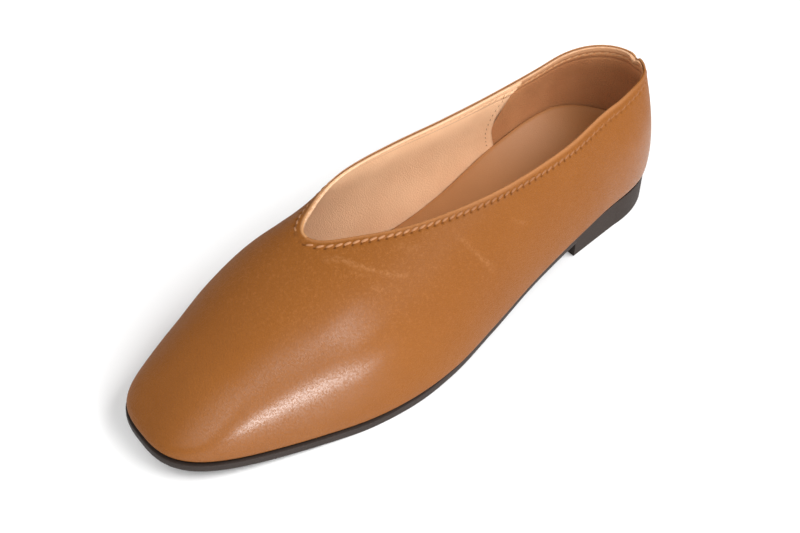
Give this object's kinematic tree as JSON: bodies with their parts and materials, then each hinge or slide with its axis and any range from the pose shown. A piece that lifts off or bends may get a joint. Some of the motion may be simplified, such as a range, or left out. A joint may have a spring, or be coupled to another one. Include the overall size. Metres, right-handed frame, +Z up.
{
  "type": "flat slip-on shoe",
  "caption": "Flat slip-on shoe for the left foot: hollow lasted leather upper with a V throat, cupped insole, thin dark outsole and low block heel.",
  "frame": {"origin": "bottom centre of the shoe's bounding box, on the floor it stands on", "axes": "+Z up, -Y towards the toe, +Y towards the heel, +X towards the outer side of the foot"},
  "size_m": [0.0862, 0.253, 0.0614],
  "materials": {
    "upper_leather": "semi-gloss caramel leather with a fine grain",
    "lining_leather": "matt peach-tan lining leather, browner and napped at the heel grip",
    "insole_leather": "smooth tan sock leather",
    "edge_thread": "caramel sewing thread",
    "outsole_rubber": "satin brown-black",
    "heel_rubber": "matt dark grey-brown"
  },
  "bodies": {
    "root": {"upper": "upper_leather", "insole": "insole_leather", "outsole": "outsole_rubber", "heel": "heel_rubber"}
  },
  "joints": []
}
